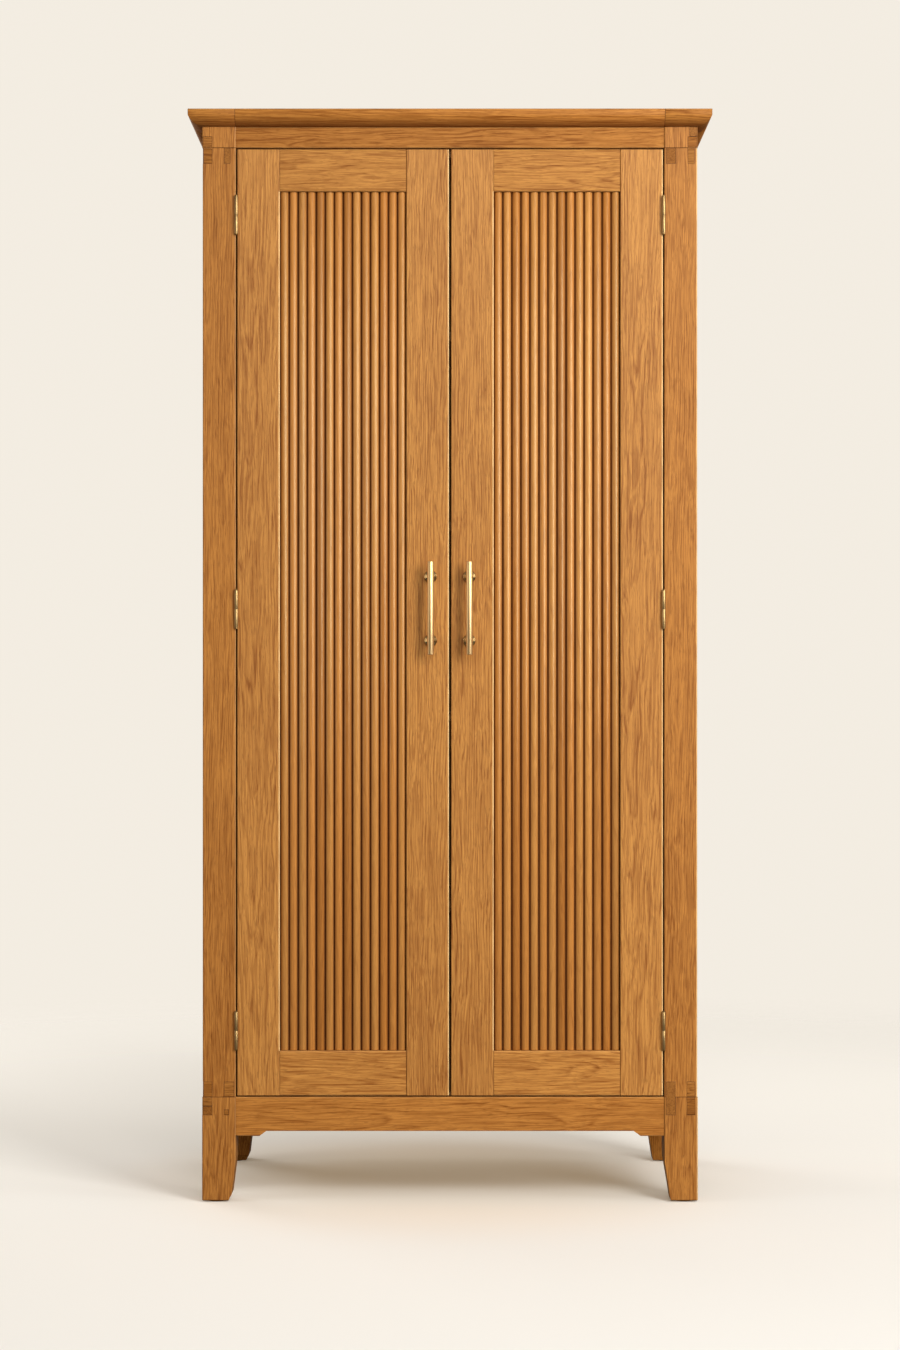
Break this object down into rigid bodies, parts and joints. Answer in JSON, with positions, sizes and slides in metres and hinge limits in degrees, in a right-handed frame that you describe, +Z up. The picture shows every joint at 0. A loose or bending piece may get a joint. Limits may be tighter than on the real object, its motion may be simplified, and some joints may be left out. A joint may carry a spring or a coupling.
{
  "type": "linen press",
  "caption": "Tall oak linen press on short tapered feet, moulded cornice, two inset framed doors with reeded panels on brass butt hinges, slim bar handles, shelves inside.",
  "frame": {"origin": "on the floor, at the middle of the overall box", "axes": "+X to the right-hand side seen from the front, +Y to the back, so the doors face -Y, +Z up"},
  "size_m": [0.98, 0.553, 2.0465],
  "materials": {
    "oak": "warm honey oak, satin oil finish, fine straight grain",
    "oak_end_grain": "the same oak showing end grain, a little darker",
    "oak_inside": "plain oak, thin oil finish",
    "brass": "satin pale brass",
    "steel": "zinc plated",
    "catch_plastic": "brown moulded housing",
    "felt": "dark felt"
  },
  "bodies": {
    "case": {"front_left_foot": "oak", "front_left_post": "oak", "front_left_cap_block": "oak", "back_left_leg": "oak", "front_right_foot": "oak", "front_right_post": "oak", "front_right_cap_block": "oak", "back_right_leg": "oak", "corner_keys": "oak_end_grain", "foot_glides": "felt", "front_bottom_rail": "oak", "front_top_rail": "oak", "back_bottom_rail": "oak", "back_top_rail": "oak", "left_bottom_rail": "oak", "left_top_rail": "oak", "left_side_panel": "oak", "right_bottom_rail": "oak", "right_top_rail": "oak", "right_side_panel": "oak", "back_boards": "oak_inside", "bottom_board": "oak_inside", "shelf_1": "oak_inside", "shelf_2": "oak_inside", "shelf_3": "oak_inside", "shelf_4": "oak_inside", "shelf_bearers": "oak_inside", "door_stop": "oak_inside", "magnetic_catches": "catch_plastic", "top_board": "oak_inside", "cornice_front": "oak", "cornice_left_corner": "oak", "cornice_left_return": "oak", "cornice_right_corner": "oak", "cornice_right_return": "oak", "case_hinge_leaves": "brass", "hinge_pins": "brass", "case_hinge_screws": "brass"},
    "left_door": {"left_door_hinge_stile": "oak", "left_door_meeting_stile": "oak", "left_door_top_rail": "oak", "left_door_bottom_rail": "oak", "left_door_panel": "oak", "left_door_reeds": "oak", "left_handle_bar": "brass", "left_handle_pillars": "brass", "left_door_hinge_leaves": "brass", "left_door_screws": "brass", "left_door_strike": "steel"},
    "right_door": {"right_door_hinge_stile": "oak", "right_door_meeting_stile": "oak", "right_door_top_rail": "oak", "right_door_bottom_rail": "oak", "right_door_panel": "oak", "right_door_reeds": "oak", "right_handle_bar": "brass", "right_handle_pillars": "brass", "right_door_hinge_leaves": "brass", "right_door_screws": "brass", "right_door_strike": "steel"}
  },
  "joints": [
    {"name": "left_door_swing", "type": "hinge", "parent": "case", "child": "left_door", "pos_m": [-0.40075, -0.2462, 1.1125], "axis": [0, 0, -1], "range_deg": [0, 170]},
    {"name": "right_door_swing", "type": "hinge", "parent": "case", "child": "right_door", "pos_m": [0.40075, -0.2462, 1.1125], "axis": [0, 0, 1], "range_deg": [0, 170]}
  ]
}
